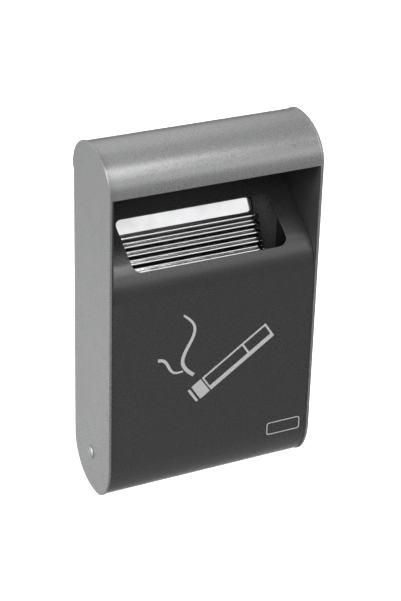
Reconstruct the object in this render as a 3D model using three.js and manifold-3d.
// Wall-mounted ashtray bin: a grey sheet-steel case with a tilting dark front.
// Millimetres. X to the right, Y back into the wall, Z up. The origin lies on the wall plane,
// at mid-width and mid-height of the case. Every piece is a separate solid.
import * as THREE from 'three';
import { mergeVertices } from 'three/addons/utils/BufferGeometryUtils.js';
import Module from 'manifold-3d';

const wasm = await Module();
wasm.setup();

// ---- driving dimensions ----
const HEIGHT = 360;
const WIDTH = 218;
const CASE_DEPTH = 82.5; // cheek front edge to cheek back edge
const WALL_GAP = 2.5; // room behind the cheeks for the wall bracket
const CHEEK_T = 2.5;
const SHEET_T = 1.5;
const SIDE_T = 1;
const CLEAR = 0.3; // gap kept between pieces that touch
const FACE_INSET = 0.8; // hood and front face sit this far inside the cheeks' outline

const TOP_Z = HEIGHT / 2;
const BOTTOM_Z = -HEIGHT / 2;
const FRONT_Y = -(CASE_DEPTH + WALL_GAP);
const BACK_Y = -WALL_GAP;
const FACE_Y = FRONT_Y + FACE_INSET;

// Round ends of the case: each corner is a quarter ellipse, as depth x height.
const TOP_FRONT = { depth: 49.7, height: 37.2 };
const TOP_BACK = { depth: 35.3, height: 33.5 };
const LOW_FRONT = { depth: 31, height: 43.2 };
const LOW_BACK = { depth: 44.3, height: 43.8 };
const RELIEF_TOP_Z = 142; // below this height the cheeks' back edges clear the bracket

const HOOD_LIP_Z = 141.7;
const CHEEK_IN_X = WIDTH / 2 - CHEEK_T;
const FRONT_HALF_X = CHEEK_IN_X - 0.7;
const SIDE_IN_X = FRONT_HALF_X - SIDE_T;

// Tilting front.
const PIVOT = { y: -43, z: -139.6 };
const TILT_TOP_Z = 140.6;
const FOLD_R = 40;
const FOLD_Z = 37.2; // where the flat face ends and the fold begins
const SLOPE_ANGLE = THREE.MathUtils.degToRad(55.5); // slope, measured back from upright
const SLOPE_END_Y = -6.5;
const FLOOR_R = 36.5; // rear part of the floor, about the pivot
const REAR_WALL_TOP_Z = -68;
const REAR_Y = PIVOT.y + FLOOR_R;

// Slot in the fold and slope, along the outer surface from the fold's start.
const SLOT = { from: 25.9, to: 84.3, halfX: 80.6, lowR: 10, highR: 8 };

// Stub-out plate behind the slot.
const STUB_T = 1;
const STUB_LEFT_X = -92;
const STUB_TAB_END_X = 57.2; // the strip and ribs run on past the tab, then roll back
const STUB_LEAN = THREE.MathUtils.degToRad(32);
const STUB_TAB = 17; // tab under the slope, above the slot
const STUB_STRIP = 14.7; // flat strip below the bend
const RIB = { count: 5, from: 15.8, pitch: 8.35, depth: 2.2, rise: 2.5, crest: 1.3, valley: 1.1 };
// The strip's right end rolls back tightly, the ribs' more gently; endX is the length before rolling.
const STUB_ROLL = { stripX: 58.4, stripR: 9, ribX: 57.3, ribR: 16, endX: 68 };
const STUB_STUD_X = { left: -70, right: 40 };

// Fasteners.
const PIVOT_RIVET = { headR: 6.4, headH: 2.6, shankR: 3, tailR: 5, tailH: 1.6 };
const STOP = { radius: 52, angle: 36, travel: 70, studR: 2.5, slotR: 3.2 };
const LOCK = { y: -40.5, z: 158, bodyR: 8, depth: 15, nutR: 12.4, nutH: 3 };
const CAM = { length: 30, width: 10, thickness: 2 };

const SEGMENTS = 28;

// ---- materials ----
const grey = () => new THREE.MeshStandardMaterial({ color: 0x9a9b9c, roughness: 0.55, metalness: 0.35 });
const dark = () => new THREE.MeshStandardMaterial({ color: 0x2b2c2e, roughness: 0.6, metalness: 0.1 });
const steel = () => new THREE.MeshStandardMaterial({ color: 0xc9cbcd, roughness: 0.25, metalness: 1 });
const zinc = () => new THREE.MeshStandardMaterial({ color: 0xa7abae, roughness: 0.45, metalness: 0.9 });
const nylon = () => new THREE.MeshStandardMaterial({ color: 0xe4e2da, roughness: 0.6, metalness: 0 });

// ---- geometry helpers ----
const part = new THREE.Group();

function add(name, geometry, material) {
  const mesh = new THREE.Mesh(geometry, material);
  mesh.name = name;
  part.add(mesh);
  return mesh;
}

function toSolid(geometry) {
  const bare = geometry.index ? geometry.toNonIndexed() : geometry.clone();
  bare.deleteAttribute('normal');
  bare.deleteAttribute('uv');
  const merged = mergeVertices(bare, 1e-4);
  return new wasm.Manifold(new wasm.Mesh({
    numProp: 3,
    vertProperties: new Float32Array(merged.attributes.position.array),
    triVerts: new Uint32Array(merged.index.array),
  }));
}

function toGeometry(solid) {
  const mesh = solid.getMesh();
  const geometry = new THREE.BufferGeometry();
  geometry.setAttribute('position', new THREE.BufferAttribute(new Float32Array(mesh.vertProperties), 3));
  geometry.setIndex(new THREE.BufferAttribute(new Uint32Array(mesh.triVerts), 1));
  return geometry;
}

function cut(geometry, ...tools) {
  return toGeometry(tools.reduce((solid, tool) => solid.subtract(toSolid(tool)), toSolid(geometry)));
}

function join(geometry, ...others) {
  return toGeometry(others.reduce((solid, other) => solid.add(toSolid(other)), toSolid(geometry)));
}

// Plate or bar whose outline lies in the YZ plane, running along X.
function alongX(points, x0, x1, holes = [], steps = 1) {
  const shape = new THREE.Shape(points);
  shape.holes = holes.map((hole) => new THREE.Path(hole));
  const geometry = new THREE.ExtrudeGeometry(shape, { depth: x1 - x0, steps, bevelEnabled: false });
  const turn = new THREE.Matrix4().set(0, 0, 1, x0, 1, 0, 0, 0, 0, 1, 0, 0, 0, 0, 0, 1);
  return geometry.applyMatrix4(turn);
}

// Plate whose outline lies in the XZ plane, running back along Y.
function alongY(points, y0, y1, holes = []) {
  const shape = new THREE.Shape(points);
  shape.holes = holes.map((hole) => new THREE.Path(hole));
  const geometry = new THREE.ExtrudeGeometry(shape, { depth: y1 - y0, bevelEnabled: false });
  return geometry.rotateX(Math.PI / 2).translate(0, y1, 0);
}

function box(x0, x1, y0, y1, z0, z1) {
  const geometry = new THREE.BoxGeometry(x1 - x0, y1 - y0, z1 - z0);
  return geometry.translate((x0 + x1) / 2, (y0 + y1) / 2, (z0 + z1) / 2);
}

// Turned piece: profile of [radius, height] pairs, its axis from a point towards a direction.
function turned(profile, origin, direction, segments = SEGMENTS) {
  const points = profile.map(([r, h]) => new THREE.Vector2(r, h));
  const geometry = new THREE.LatheGeometry(points, segments);
  const up = new THREE.Vector3(0, 1, 0);
  const turn = new THREE.Quaternion().setFromUnitVectors(up, new THREE.Vector3(...direction));
  return geometry.applyQuaternion(turn).translate(...origin);
}

// Hexagon nut with a round bore, resting on a point and growing towards a direction.
function hexNut(cornerR, boreR, height, origin, direction) {
  const corners = Array.from({ length: 6 }, (_, i) => new THREE.Vector2(
    cornerR * Math.cos((i * Math.PI) / 3), cornerR * Math.sin((i * Math.PI) / 3)));
  const shape = new THREE.Shape(corners);
  shape.holes = [new THREE.Path(arc(0, 0, boreR, boreR, 0, 345, 23))];
  const geometry = new THREE.ExtrudeGeometry(shape, { depth: height, bevelEnabled: false });
  const ahead = new THREE.Vector3(0, 0, 1);
  const turn = new THREE.Quaternion().setFromUnitVectors(ahead, new THREE.Vector3(...direction));
  return geometry.applyQuaternion(turn).translate(...origin);
}

function arc(cy, cz, ry, rz, startDeg, endDeg, steps) {
  const start = THREE.MathUtils.degToRad(startDeg);
  const sweep = THREE.MathUtils.degToRad(endDeg) - start;
  return Array.from({ length: steps + 1 }, (_, i) => {
    const a = start + (sweep * i) / steps;
    return new THREE.Vector2(cy + ry * Math.cos(a), cz + rz * Math.sin(a));
  });
}

// The same line moved sideways: to the left of its direction where the distance is positive.
function offset(line, distance) {
  return line.map((point, i) => {
    const before = line[Math.max(i - 1, 0)];
    const after = line[Math.min(i + 1, line.length - 1)];
    const a = point.clone().sub(before).normalize();
    const b = after.clone().sub(point).normalize();
    const along = a.add(b).normalize();
    const reach = i > 0 && i < line.length - 1 ? distance / Math.max(along.dot(b), 0.5) : distance;
    return new THREE.Vector2(point.x - along.y * reach, point.y + along.x * reach);
  });
}

function sheet(line, thickness) {
  return [...line, ...offset(line, thickness).reverse()];
}

function roundedRect(cx, cy, halfW, halfH, r, steps = 5) {
  const corners = [[1, 1, 0], [-1, 1, 90], [-1, -1, 180], [1, -1, 270]];
  return corners.flatMap(([sx, sy, a]) => arc(
    cx + sx * (halfW - r), cy + sy * (halfH - r), r, r, a, a + 90, steps));
}

// ---- shared outlines ----
function cornerArcs(inset) {
  const corner = (size, y, z, from) => arc(
    y, z, size.depth - inset, size.height - inset, from, from + 90, 14);
  return {
    lowFront: corner(LOW_FRONT, FRONT_Y + LOW_FRONT.depth, BOTTOM_Z + LOW_FRONT.height, 180),
    lowBack: corner(LOW_BACK, BACK_Y - LOW_BACK.depth, BOTTOM_Z + LOW_BACK.height, 270),
    topBack: corner(TOP_BACK, -TOP_BACK.depth, TOP_Z - TOP_BACK.height, 0),
    topFront: corner(TOP_FRONT, FRONT_Y + TOP_FRONT.depth, TOP_Z - TOP_FRONT.height, 90),
  };
}

const slopeAlong = new THREE.Vector2(Math.sin(SLOPE_ANGLE), Math.cos(SLOPE_ANGLE));
const slopeInward = new THREE.Vector2(Math.cos(SLOPE_ANGLE), -Math.sin(SLOPE_ANGLE));
const foldLength = FOLD_R * SLOPE_ANGLE;

// Outer surface of the fold and slope, by distance from the fold's start.
function slopePoint(distance) {
  const angle = Math.min(distance, foldLength) / FOLD_R;
  const onFold = new THREE.Vector2(
    FACE_Y + FOLD_R * (1 - Math.cos(angle)), FOLD_Z + FOLD_R * Math.sin(angle));
  return onFold.addScaledVector(slopeAlong, Math.max(distance - foldLength, 0));
}

// Floor of the tilting front, moved inwards by a distance, from the face back to the rear wall.
function floorLine(inward) {
  const front = arc(FRONT_Y + LOW_FRONT.depth, BOTTOM_Z + LOW_FRONT.height,
    LOW_FRONT.depth - FACE_INSET - inward, LOW_FRONT.height - FACE_INSET - inward, 180, 270, 12);
  const rear = arc(PIVOT.y, PIVOT.z, FLOOR_R - inward, FLOOR_R - inward, 285, 360, 10);
  return [...front, ...rear];
}

// ---- case ----
function cheekGeometry(side) {
  const corners = cornerArcs(0);
  const outline = [
    ...corners.lowFront, ...corners.lowBack,
    new THREE.Vector2(BACK_Y, RELIEF_TOP_Z), new THREE.Vector2(0, RELIEF_TOP_Z + WALL_GAP),
    ...corners.topBack, ...corners.topFront.slice(1),
  ];
  const holes = [arc(PIVOT.y, PIVOT.z, PIVOT_RIVET.shankR + CLEAR, PIVOT_RIVET.shankR + CLEAR, 0, 345, 23)];
  if (side > 0) {
    holes.push(arc(LOCK.y, LOCK.z, LOCK.bodyR + CLEAR, LOCK.bodyR + CLEAR, 0, 345, 23));
  }
  const [x0, x1] = side > 0 ? [CHEEK_IN_X, WIDTH / 2] : [-WIDTH / 2, -CHEEK_IN_X];
  return alongX(outline, x0, x1, holes);
}

const HOOK = { x: 55, width: 12, legZ: 96, legT: 2, tipZ: 109, slotZ: 83 };
const BACK_SCREW = { x: 55, z: -60, shankR: 2.5, headR: 4.6, headH: 1.6 };
const BACK_END_Z = -140;

function hoodAndBackGeometry() {
  const corners = cornerArcs(FACE_INSET);
  const line = [
    new THREE.Vector2(FACE_Y, HOOD_LIP_Z),
    ...corners.topFront.slice().reverse(), ...corners.topBack.slice(0, -1).reverse(),
    new THREE.Vector2(-FACE_INSET, RELIEF_TOP_Z + WALL_GAP),
    new THREE.Vector2(BACK_Y, RELIEF_TOP_Z),
    new THREE.Vector2(BACK_Y, BACK_END_Z),
  ];
  const halfX = CHEEK_IN_X - CLEAR;
  const hookSlots = [-1, 1].map((side) => {
    const x = side * HOOK.x;
    const half = HOOK.width / 2 + 1;
    return box(x - half, x + half, BACK_Y - 5, BACK_Y + 1, HOOK.slotZ, HOOK.legZ + HOOK.legT + CLEAR);
  });
  const screwHoles = [-1, 1].map((side) => turned(
    [[0, -5], [BACK_SCREW.shankR + CLEAR, -5], [BACK_SCREW.shankR + CLEAR, 5], [0, 5]],
    [side * BACK_SCREW.x, BACK_Y, BACK_SCREW.z], [0, 1, 0]));
  return cut(alongX(sheet(line, -SHEET_T), -halfX, halfX), ...hookSlots, ...screwHoles);
}

const BRACKET = { halfX: 75, topZ: 128, lowZ: -100, thickness: 2.2, cornerR: 8 };
const WALL_HOLE = { x: 30, topZ: 112, lowZ: -84, shankR: 2.3, headR: 4.2 };

function wallBracketGeometry() {
  const height = BRACKET.topZ - BRACKET.lowZ;
  const plate = alongY(
    roundedRect(0, BRACKET.lowZ + height / 2, BRACKET.halfX, height / 2, BRACKET.cornerR),
    -BRACKET.thickness, 0);
  const hooks = [-1, 1].flatMap((side) => {
    const [x0, x1] = [side * HOOK.x - HOOK.width / 2, side * HOOK.x + HOOK.width / 2];
    const tipY = BACK_Y - SHEET_T - CLEAR;
    return [
      box(x0, x1, tipY - SHEET_T, -BRACKET.thickness / 2, HOOK.legZ, HOOK.legZ + HOOK.legT),
      box(x0, x1, tipY - SHEET_T, tipY, HOOK.legZ, HOOK.tipZ),
    ];
  });
  const wallHoles = [-1, 1].flatMap((side) => [WALL_HOLE.topZ, WALL_HOLE.lowZ].map((z) => turned(
    [[0, -3], [WALL_HOLE.headR, -3], [WALL_HOLE.headR, -BRACKET.thickness],
      [WALL_HOLE.shankR, -0.3], [WALL_HOLE.shankR, 1], [0, 1]],
    [side * WALL_HOLE.x, 0, z], [0, 1, 0])));
  const tapped = [-1, 1].map((side) => turned(
    [[0, -4], [BACK_SCREW.shankR + CLEAR, -4], [BACK_SCREW.shankR + CLEAR, 1], [0, 1]],
    [side * BACK_SCREW.x, 0, BACK_SCREW.z], [0, 1, 0]));
  return cut(join(plate, ...hooks), ...wallHoles, ...tapped);
}

function backScrewGeometry(side) {
  const seat = -BACK_Y + SHEET_T + CLEAR;
  const { shankR, headR, headH } = BACK_SCREW;
  const profile = [
    [0, 0.4], [shankR, 0.4], [shankR, seat], [headR, seat], [headR, seat + headH * 0.4],
    [headR * 0.75, seat + headH * 0.85], [0, seat + headH],
  ];
  return turned(profile, [side * BACK_SCREW.x, 0, BACK_SCREW.z], [0, -1, 0]);
}

// ---- pivots and stops ----
function pivotRivetGeometry(side) {
  const { headR, headH, shankR, tailR, tailH } = PIVOT_RIVET;
  const seat = WIDTH / 2 + 0.15;
  const tail = SIDE_IN_X - CLEAR;
  const dome = Array.from({ length: 7 }, (_, i) => {
    const a = (Math.PI / 2) * (i / 6);
    return [headR * Math.cos(a), seat + 0.4 + (headH - 0.4) * Math.sin(a)];
  });
  dome[6][0] = 0;
  const profile = [
    [0, tail - tailH], [tailR * 0.8, tail - tailH], [tailR, tail - tailH * 0.6], [tailR, tail],
    [shankR, tail], [shankR, seat], [headR, seat], ...dome,
  ];
  return turned(profile, [0, PIVOT.y, PIVOT.z], [side, 0, 0]);
}

function pivotWasherGeometry(side) {
  const [inner, outer] = [PIVOT_RIVET.shankR + CLEAR, 8];
  const [x0, x1] = [FRONT_HALF_X + 0.15, CHEEK_IN_X - 0.15];
  const profile = [[inner, x0], [outer, x0], [outer, x1], [inner, x1], [inner, x0]];
  return turned(profile, [0, PIVOT.y, PIVOT.z], [side, 0, 0]);
}

function stopPoint() {
  const a = THREE.MathUtils.degToRad(90 + STOP.angle);
  return [PIVOT.y + STOP.radius * Math.cos(a), PIVOT.z + STOP.radius * Math.sin(a)];
}

function stopStudGeometry(side) {
  const head = SIDE_IN_X - CLEAR;
  const profile = [
    [0, head - 1.6], [STOP.slotR + 1.2, head - 1.6], [STOP.slotR + 1.2, head], [STOP.studR, head],
    [STOP.studR, CHEEK_IN_X - 0.15], [0, CHEEK_IN_X - 0.15],
  ];
  return turned(profile, [0, ...stopPoint()], [side, 0, 0]);
}

// ---- tilting front ----
const slotLow = slopePoint(SLOT.from);
const slotHigh = slopePoint(SLOT.to);

// Prism through the sheet, square to the slope, with the slot's rounded outline.
function slotPrism() {
  const length = slotHigh.clone().sub(slotLow).dot(slopeAlong);
  const { halfX, lowR, highR } = SLOT;
  const outline = [
    ...arc(halfX - lowR, lowR, lowR, lowR, 270, 360, 6),
    ...arc(halfX - highR, length - highR, highR, highR, 0, 90, 6),
    ...arc(highR - halfX, length - highR, highR, highR, 90, 180, 6),
    ...arc(lowR - halfX, lowR, lowR, lowR, 180, 270, 6),
  ];
  const depth = 40;
  const geometry = new THREE.ExtrudeGeometry(new THREE.Shape(outline), { depth, bevelEnabled: false });
  const start = slotHigh.clone().addScaledVector(slopeAlong, -length)
    .addScaledVector(slopeInward, depth / 2);
  const [ay, az] = slopeAlong.toArray();
  const [ny, nz] = slopeInward.toArray();
  return geometry.applyMatrix4(new THREE.Matrix4().set(
    1, 0, 0, 0, 0, ay, -ny, start.x, 0, az, -nz, start.y, 0, 0, 0, 1));
}

function frontPanelGeometry() {
  const slopeEnd = foldLength + (SLOPE_END_Y - slopePoint(foldLength).x) / slopeAlong.x;
  const fold = Array.from({ length: 13 }, (_, i) => slopePoint(foldLength * (1 - i / 12)));
  const line = [
    slopePoint(slopeEnd), ...fold, ...floorLine(0), new THREE.Vector2(REAR_Y, REAR_WALL_TOP_Z),
  ];
  const blank = alongX(sheet(line, SHEET_T), -FRONT_HALF_X, FRONT_HALF_X);
  const sideX = SIDE_IN_X - CLEAR;
  const notches = [-1, 1].map((side) => {
    const [x0, x1] = side > 0 ? [sideX, WIDTH] : [-WIDTH, -sideX];
    return box(x0, x1, FRONT_Y - 5, 5, FOLD_Z - CLEAR, HEIGHT);
  });
  return cut(blank, slotPrism(), ...notches);
}

// Curved slot that the stop stud runs in as the front tilts.
function stopSlotOutline() {
  const first = 90 + STOP.angle;
  const last = first - STOP.travel;
  const { radius, slotR } = STOP;
  const end = (deg, from) => {
    const a = THREE.MathUtils.degToRad(deg);
    return arc(PIVOT.y + radius * Math.cos(a), PIVOT.z + radius * Math.sin(a),
      slotR, slotR, from, from + 180, 6).slice(1, -1);
  };
  return [
    ...arc(PIVOT.y, PIVOT.z, radius + slotR, radius + slotR, last, first, 12),
    ...end(first, first),
    ...arc(PIVOT.y, PIVOT.z, radius - slotR, radius - slotR, first, last, 12),
    ...end(last, last + 180),
  ];
}

const STRIKE = { y: -35, z0: 123, z1: 139, backY: -16, inX: 86, thickness: 1.6, rivetR: 1.6 };
const strikeRivets = [-28, -20].map((y) => ({ y, z: (STRIKE.z0 + STRIKE.z1) / 2 }));

function sidePlateGeometry(side) {
  const inward = SHEET_T + CLEAR;
  const rearY = REAR_Y - inward;
  const outline = [
    new THREE.Vector2(FACE_Y, FOLD_Z), new THREE.Vector2(FACE_Y + inward, FOLD_Z),
    ...floorLine(inward), new THREE.Vector2(rearY, TILT_TOP_Z), new THREE.Vector2(FACE_Y, TILT_TOP_Z),
  ];
  const bore = PIVOT_RIVET.shankR + CLEAR;
  const holes = [arc(PIVOT.y, PIVOT.z, bore, bore, 0, 345, 23), stopSlotOutline()];
  if (side > 0) {
    strikeRivets.forEach(({ y, z }) => {
      holes.push(arc(y, z, STRIKE.rivetR + CLEAR, STRIKE.rivetR + CLEAR, 0, 330, 11));
    });
  }
  const [x0, x1] = side > 0 ? [SIDE_IN_X, FRONT_HALF_X] : [-FRONT_HALF_X, -SIDE_IN_X];
  return alongX(outline, x0, x1, holes);
}

// ---- stub-out plate ----
const stubAlong = new THREE.Vector2(-Math.sin(STUB_LEAN), -Math.cos(STUB_LEAN));
const stubOutward = new THREE.Vector2(-Math.cos(STUB_LEAN), Math.sin(STUB_LEAN));

function onSlopeUnderside(distance, depth) {
  return slopePoint(distance).addScaledVector(slopeInward, SHEET_T + depth);
}

const stubBend = onSlopeUnderside(SLOT.to + 1, CLEAR);

function onStubPlate(along, out) {
  return stubBend.clone().addScaledVector(stubAlong, along).addScaledVector(stubOutward, out);
}

// Outer surface of the strip and the flat-topped ribs, from a distance below the bend downwards.
function ribbedLine(start) {
  const line = [onStubPlate(start, 0), onStubPlate(STUB_STRIP, 0)];
  for (let i = 0; i < RIB.count; i += 1) {
    const foot = RIB.from + i * RIB.pitch;
    line.push(onStubPlate(foot + RIB.rise, RIB.depth));
    line.push(onStubPlate(foot + RIB.rise + RIB.crest, RIB.depth));
    line.push(onStubPlate(foot + RIB.pitch - RIB.valley, 0));
    line.push(onStubPlate(foot + RIB.pitch, 0));
  }
  line.push(onStubPlate(RIB.from + RIB.count * RIB.pitch + 4, 0));
  return line;
}

const STUB_STUD_AT = SLOT.to + STUB_TAB / 2;
const STUD = { shankR: 2, length: 8, nutR: 4, nutH: 3 };

// Where a stud's axis meets the slope's underside, and the direction it points.
function studPlace(side, depth) {
  const at = onSlopeUnderside(STUB_STUD_AT, depth);
  const x = side > 0 ? STUB_STUD_X.right : STUB_STUD_X.left;
  return { origin: [x, at.x, at.y], direction: [0, slopeInward.x, slopeInward.y] };
}

// Rolls the plate's right end back: tightly along the strip, gently along the ribs.
function rollBack(geometry) {
  const points = geometry.getAttribute('position');
  for (let i = 0; i < points.count; i += 1) {
    const fromBend = new THREE.Vector2(points.getY(i), points.getZ(i)).sub(stubBend);
    const along = fromBend.dot(stubAlong);
    const blend = THREE.MathUtils.smoothstep(along, STUB_STRIP - 2, STUB_STRIP + 3);
    const startX = THREE.MathUtils.lerp(STUB_ROLL.stripX, STUB_ROLL.ribX, blend);
    const radius = THREE.MathUtils.lerp(STUB_ROLL.stripR, STUB_ROLL.ribR, blend);
    const angle = Math.max(points.getX(i) - startX, 0) / radius;
    const reach = radius + fromBend.dot(stubOutward);
    if (angle > 0) {
      const moved = onStubPlate(along, reach * Math.cos(angle) - radius);
      points.setXYZ(i, startX + reach * Math.sin(angle), moved.x, moved.y);
    }
  }
  return geometry;
}

function stubPlateGeometry() {
  const line = [onSlopeUnderside(SLOT.to + STUB_TAB, CLEAR), ...ribbedLine(0)];
  const flat = alongX(sheet(line, STUB_T), STUB_LEFT_X, STUB_TAB_END_X);
  const end = alongX(sheet(ribbedLine(1.2), STUB_T), STUB_TAB_END_X - 0.01, STUB_ROLL.endX, [], 9);
  const blank = join(flat, rollBack(end));
  const holes = [-1, 1].map((side) => {
    const { origin, direction } = studPlace(side, 0);
    const r = STUD.shankR + CLEAR;
    return turned([[0, 0], [r, 0], [r, 5], [0, 5]], origin, direction);
  });
  return cut(blank, ...holes);
}

function stubStudGeometry(side) {
  const { origin, direction } = studPlace(side, 0.15);
  const { shankR, length } = STUD;
  return turned([[0, 0], [shankR, 0], [shankR, length - 0.5], [shankR - 0.5, length], [0, length]],
    origin, direction);
}

function stubNutGeometry(side) {
  const { origin, direction } = studPlace(side, STUB_T + 2 * CLEAR);
  return hexNut(STUD.nutR, STUD.shankR + CLEAR, STUD.nutH, origin, direction);
}

// ---- ash liner ----
const LINER = { halfX: 100.6, topZ: 20, inward: 2.7, wall: 0.8 };

function linerOutline(wall) {
  const inward = LINER.inward + wall;
  const top = LINER.topZ + (wall > 0 ? 5 : 0);
  return [
    new THREE.Vector2(FACE_Y + inward, top), ...floorLine(inward),
    new THREE.Vector2(REAR_Y - inward, top),
  ];
}

function linerGeometry() {
  const outer = alongX(linerOutline(0), -LINER.halfX, LINER.halfX);
  const insideX = LINER.halfX - LINER.wall;
  return cut(outer, alongX(linerOutline(LINER.wall), -insideX, insideX));
}

// ---- cam lock ----
const LOCK_FACE_X = WIDTH / 2 + 1.8;
const PLUG = { radius: 5.4, shaftR: 2.8, screwR: 1.6 };

function lockBodyGeometry() {
  const bore = PLUG.radius + CLEAR;
  const end = WIDTH / 2 - LOCK.depth;
  const seat = WIDTH / 2 + 0.15;
  const profile = [
    [bore, end], [LOCK.bodyR, end], [LOCK.bodyR, seat], [LOCK.bodyR + 2, seat],
    [LOCK.bodyR + 2, LOCK_FACE_X - 0.6], [LOCK.bodyR + 1.4, LOCK_FACE_X], [bore, LOCK_FACE_X], [bore, end],
  ];
  return turned(profile, [0, LOCK.y, LOCK.z], [1, 0, 0]);
}

function lockNutGeometry() {
  const seat = [CHEEK_IN_X - CLEAR, LOCK.y, LOCK.z];
  return hexNut(LOCK.nutR, LOCK.bodyR + CLEAR, LOCK.nutH, seat, [-1, 0, 0]);
}

const CAM_X = WIDTH / 2 - LOCK.depth - CAM.thickness - CLEAR;

function lockPlugGeometry() {
  const shoulder = CAM_X + CAM.thickness + CLEAR;
  const profile = [
    [0, CAM_X], [PLUG.shaftR, CAM_X], [PLUG.shaftR, shoulder], [PLUG.radius, shoulder],
    [PLUG.radius, LOCK_FACE_X - 0.2], [0, LOCK_FACE_X - 0.2],
  ];
  const plug = turned(profile, [0, LOCK.y, LOCK.z], [1, 0, 0]);
  const keySlot = box(LOCK_FACE_X - 6, LOCK_FACE_X + 1, LOCK.y - 3.6, LOCK.y + 3.6,
    LOCK.z - 0.7, LOCK.z + 0.7);
  const bore = PLUG.screwR + CLEAR / 2;
  const screwBore = turned([[0, -1], [bore, -1], [bore, 8], [0, 8]],
    [CAM_X, LOCK.y, LOCK.z], [1, 0, 0], 16);
  return cut(plug, keySlot, screwBore);
}

// The cam points forwards at rest (unlocked) and down when it is turned to lock.
function lockCamGeometry() {
  const half = CAM.width / 2;
  const outline = [
    ...arc(LOCK.y, LOCK.z, half, half, 270, 450, 10),
    new THREE.Vector2(LOCK.y - CAM.length + 2, LOCK.z + half),
    new THREE.Vector2(LOCK.y - CAM.length, LOCK.z + half - 2),
    new THREE.Vector2(LOCK.y - CAM.length, LOCK.z - half + 2),
    new THREE.Vector2(LOCK.y - CAM.length + 2, LOCK.z - half),
  ];
  const bore = PLUG.shaftR + CLEAR;
  return alongX(outline, CAM_X, CAM_X + CAM.thickness, [arc(LOCK.y, LOCK.z, bore, bore, 0, 337.5, 15)]);
}

function camScrewGeometry() {
  const seat = CAM_X - 0.2;
  const profile = [
    [0, seat - 2], [3.4, seat - 2], [4.2, seat - 1.2], [4.2, seat], [PLUG.screwR, seat],
    [PLUG.screwR, CAM_X + 6], [0, CAM_X + 6],
  ];
  return turned(profile, [0, LOCK.y, LOCK.z], [1, 0, 0], 20);
}

// Angle bracket on the right side plate that the locked cam stands in front of.
function strikeGeometry() {
  const { y, z0, z1, backY, inX, thickness, rivetR } = STRIKE;
  const outX = SIDE_IN_X - CLEAR;
  const outline = [
    [inX, y], [outX, y], [outX, backY], [outX - thickness, backY],
    [outX - thickness, y + thickness], [inX, y + thickness],
  ].map(([x, depth]) => new THREE.Vector2(x, depth));
  const blank = new THREE.ExtrudeGeometry(new THREE.Shape(outline), { depth: z1 - z0, bevelEnabled: false });
  blank.translate(0, 0, z0);
  const r = rivetR + CLEAR;
  return cut(blank, ...strikeRivets.map((at) => turned(
    [[0, outX - 5], [r, outX - 5], [r, outX + 1], [0, outX + 1]], [0, at.y, at.z], [1, 0, 0], 12)));
}

function strikeRivetGeometry({ y, z }) {
  const seat = SIDE_IN_X - CLEAR - STRIKE.thickness - 0.2;
  const { rivetR } = STRIKE;
  const end = FRONT_HALF_X - 0.1;
  const profile = [
    [0, seat - 1.2], [1.8, seat - 1], [2.8, seat - 0.4], [2.8, seat], [rivetR, seat], [rivetR, end], [0, end],
  ];
  return turned(profile, [0, y, z], [1, 0, 0], 20);
}

// ---- assembly ----
add('hood_and_back', hoodAndBackGeometry(), grey());
add('wall_bracket', wallBracketGeometry(), zinc());
add('front_panel', frontPanelGeometry(), dark());
add('stub_plate', stubPlateGeometry(), steel());
add('ash_liner', linerGeometry(), zinc());
for (const [name, side] of [['left', -1], ['right', 1]]) {
  add(`${name}_cheek`, cheekGeometry(side), grey());
  add(`${name}_side_plate`, sidePlateGeometry(side), dark());
  add(`${name}_pivot_rivet`, pivotRivetGeometry(side), steel());
  add(`${name}_pivot_washer`, pivotWasherGeometry(side), nylon());
  add(`${name}_stop_stud`, stopStudGeometry(side), zinc());
  add(`${name}_back_screw`, backScrewGeometry(side), zinc());
  add(`${name}_stub_stud`, stubStudGeometry(side), zinc());
  add(`${name}_stub_nut`, stubNutGeometry(side), zinc());
}
add('lock_body', lockBodyGeometry(), steel());
add('lock_nut', lockNutGeometry(), zinc());
add('lock_plug', lockPlugGeometry(), steel());
add('lock_cam', lockCamGeometry(), zinc());
add('cam_screw', camScrewGeometry(), zinc());
add('lock_strike', strikeGeometry(), zinc());
strikeRivets.forEach((at, i) => add(`strike_rivet_${i + 1}`, strikeRivetGeometry(at), zinc()));

export default part;
